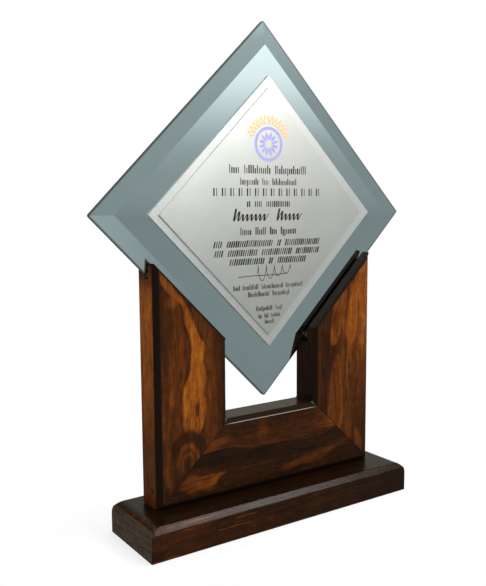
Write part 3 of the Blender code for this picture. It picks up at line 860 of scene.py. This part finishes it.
def speckled(name, dark, light, size, roughness, depth, metallic=0.0):
    """A plain finish with fine variation in colour, gloss and height."""
    made, g = material(name, Metallic=metallic)
    point = g.millimetres()
    grains = g.noise(point, size, detail=4.0, roughness=0.65)
    clouds = g.noise(point, size * 8, detail=2.0)
    value = g.total(grains, g.signed(clouds, 0.25))
    g.feed(g.shader["Base Color"], g.ramp(value, [(0.25, dark), (0.75, light)]))
    g.feed(g.shader["Roughness"], g.total(roughness, g.signed(grains, 0.12)))
    g.feed(g.shader["Normal"], g.bump(grains, depth, 0.5))
    return made


foam_tape = speckled("foam_tape", (0.55, 0.55, 0.52), (0.78, 0.78, 0.74), 0.5, 0.75, 0.05 * MM)
dark_filler = speckled("dark_filler", (0.008, 0.004, 0.002), (0.030, 0.016, 0.009), 0.6, 0.6, 0.10 * MM)
zinc = speckled("zinc_plated_steel", (0.46, 0.40, 0.26), (0.66, 0.60, 0.42), 0.8, 0.36, 0.02 * MM, 1.0)
wire = speckled("bright_wire", (0.40, 0.40, 0.40), (0.60, 0.60, 0.60), 0.6, 0.32, 0.02 * MM, 1.0)
FINISHES = (("_tape_", foam_tape), ("_nail_filler", dark_filler), ("_base_screw", zinc),
            ("_mitre_nail", wire))
for node_name, node in nodes.items():
    for part_of_name, finish in FINISHES:
        if part_of_name in node_name:
            dress(node, finish)


# ---------------------------------------------------------------- studio

FLOOR_SIZE = 4.0
FLOOR_FADE = 0.06         # how far round the base the floor is still seen
FLOOR_STRENGTH = 0.30


def floor():
    """A pale floor that fades into the white all round, a little way from the object."""
    shape = bmesh.new()
    bmesh.ops.create_grid(shape, x_segments=1, y_segments=1, size=FLOOR_SIZE)
    mesh = bpy.data.meshes.new("floor")
    shape.to_mesh(mesh)
    shape.free()
    obj = bpy.data.objects.new("floor", mesh)
    bpy.context.scene.collection.objects.link(obj)
    made, g = material("pale_floor", Specular_IOR_Level=0.0)
    place = g.node("TexCoord", {}, output="Object")
    shade = g.noise(place, 0.5, detail=2.0)
    g.feed(g.shader["Base Color"], g.ramp(shade, [(0.2, (0.90, 0.90, 0.90)), (0.8, (0.93, 0.93, 0.93))]))
    g.feed(g.shader["Roughness"], g.total(0.9, g.signed(shade, 0.05)))
    x, y, _ = g.split(place)
    beyond_x = g.highest(g.minus(g.absolute(x), 0.118), 0.0)      # past the ends of the base
    beyond_y = g.highest(g.minus(g.absolute(y), 0.032), 0.0)      # past its front and back
    near = g.step(g.length(beyond_x, beyond_y), FLOOR_FADE, 0.0)
    g.feed(g.shader["Alpha"], g.times(near, FLOOR_STRENGTH))
    mesh.materials.append(made)
    obj.visible_glossy = False


def softbox(name, place, target, width, height, radiance):
    light = bpy.data.lights.new(name, 'AREA')
    light.shape = 'RECTANGLE'
    light.size = width
    light.size_y = height
    light.energy = radiance * math.pi * width * height
    light.cycles.use_multiple_importance_sampling = False       # the mirror doesn't show the lamp
    obj = bpy.data.objects.new(name, light)
    bpy.context.scene.collection.objects.link(obj)
    obj.location = place
    obj.rotation_euler = (Vector(target) - Vector(place)).to_track_quat('-Z', 'Y').to_euler()


AMBIENT = 0.62            # what lights the object from all round
WHITE = 1.0               # what the camera sees behind the object


def front_wall(g, height, turn):
    """The room in front of the object, which the glass and the lacquer mirror: a wall and a window.

    Height is in degrees above level and turn in degrees from -Y towards +X.
    """
    wall = g.curve(height, [(-60, 0.24), (-30, 0.26), (-17, 0.275), (-8, 0.272), (5, 0.272), (17, 0.32),
                            (22, 0.36), (25, 0.42), (27, 0.47), (29, 0.70), (35, 0.75), (60, 0.60)])
    window = g.curve(height, [(-1.0, 0.0), (1.0, 0.06), (2.4, 0.075), (4.2, 0.146), (5.85, 0.307),
                              (7.5, 0.51), (9.0, 0.71), (10.5, 0.83), (13.0, 0.88)])
    window = g.times(window, g.step(height, 15.5, 13.0))
    window = g.times(window, g.times(g.step(turn, 6.0, 14.0), g.step(turn, 56.0, 47.0)))
    low_left = g.times(g.step(turn, 16.0, 6.0),
                       g.times(g.step(height, -14.0, -17.0), g.step(height, -28.0, -20.0)))
    high_right = g.times(g.step(turn, 32.0, 46.0), g.step(height, 17.0, 23.0))
    lamp = g.times(g.times(g.step(height, 12.2, 12.8), g.step(height, 15.8, 15.2)),
                   g.times(g.step(turn, 26.0, 34.0), g.step(turn, 49.0, 45.0)))
    wall = g.total(wall, window, g.times(low_left, 0.14), g.times(high_right, 0.09), g.times(lamp, 3.5))
    return wall, window


def studio_world():
    """White behind the object, and softly graded grey walls for what the glass and the lacquer mirror."""
    world = bpy.data.worlds.new("studio")
    bpy.context.scene.world = world
    world.use_nodes = True
    g = Graph(world.node_tree)
    x, y, z = g.split(g.node("TexCoord", {}, output="Generated"))
    height = g.math('DEGREES', g.math('ARCSINE', z))
    turn = g.math('DEGREES', g.math('ARCTAN2', x, g.times(y, -1.0)))
    front, window = front_wall(g, height, turn)
    back = g.blend(0.12, 0.52, g.step(x, -0.2, 0.2))
    wall = g.blend(front, back, g.step(y, -0.15, 0.15))
    front_left = g.times(g.step(turn, -15.0, -45.0), g.step(y, 0.1, -0.1))
    wall = g.times(wall, g.blend(1.0, 0.35, front_left))
    ambient = g.node("LightPath", {}, output="Is Diffuse Ray")
    seen = g.node("LightPath", {}, output="Is Camera Ray")
    level = g.blend(g.blend(wall, AMBIENT, ambient), WHITE, seen)
    mirrored = g.minus(1.0, g.highest(seen, ambient))
    behind = g.times(g.step(y, -0.15, 0.15), mirrored)
    warmth = g.times(g.times(window, 0.09), mirrored)
    red = g.total(g.times(level, g.blend(1.0, 0.95, behind)), warmth)
    blue = g.times(level, g.blend(1.0, 0.86, behind))
    background = world.node_tree.nodes["Background"]
    g.feed(background.inputs["Color"], g.join(red, level, blue))


floor()
studio_world()
softbox("overhead", (0.30, 0.10, 1.30), (0.05, -0.05, 0.10), 1.2, 0.9, 2.6)
softbox("chamfer_strip", (0.56, -0.48, 0.94), (0.0, -0.03, 0.02), 0.42, 0.34, 9.0)
softbox("front_left_fill", (-1.10, -1.50, 0.95), (0.0, 0.0, 0.16), 0.9, 0.9, 3.0)
softbox("plate_glare", (0.46, -1.32, 0.77), (0.0, 0.0, 0.25), 0.24, 0.24, 35.0)


# ---------------------------------------------------------------- camera

CAMERA_PLACE = (-0.33528, -0.46311, 0.23838)
CAMERA_TURN = 34.04       # degrees to the right of +Y
CAMERA_DIP = 6.67         # degrees below level
CAMERA_ROLL = -0.35       # degrees
CAMERA_LENS = 46.4        # millimetres, on a 36 mm sensor
camera_data = bpy.data.cameras.new("camera")
camera_data.sensor_width = 36.0
camera_data.lens = CAMERA_LENS
camera_data.clip_start = 0.01
camera = bpy.data.objects.new("camera", camera_data)
bpy.context.scene.collection.objects.link(camera)
camera.matrix_world = (Matrix.Translation(CAMERA_PLACE)
                       @ Matrix.Rotation(math.radians(-CAMERA_TURN), 4, 'Z')
                       @ Matrix.Rotation(math.radians(90 - CAMERA_DIP), 4, 'X')
                       @ Matrix.Rotation(math.radians(CAMERA_ROLL), 4, 'Z'))
bpy.context.scene.camera = camera
bpy.context.scene.view_settings.view_transform = 'Standard'

bpy.context.view_layer.update()
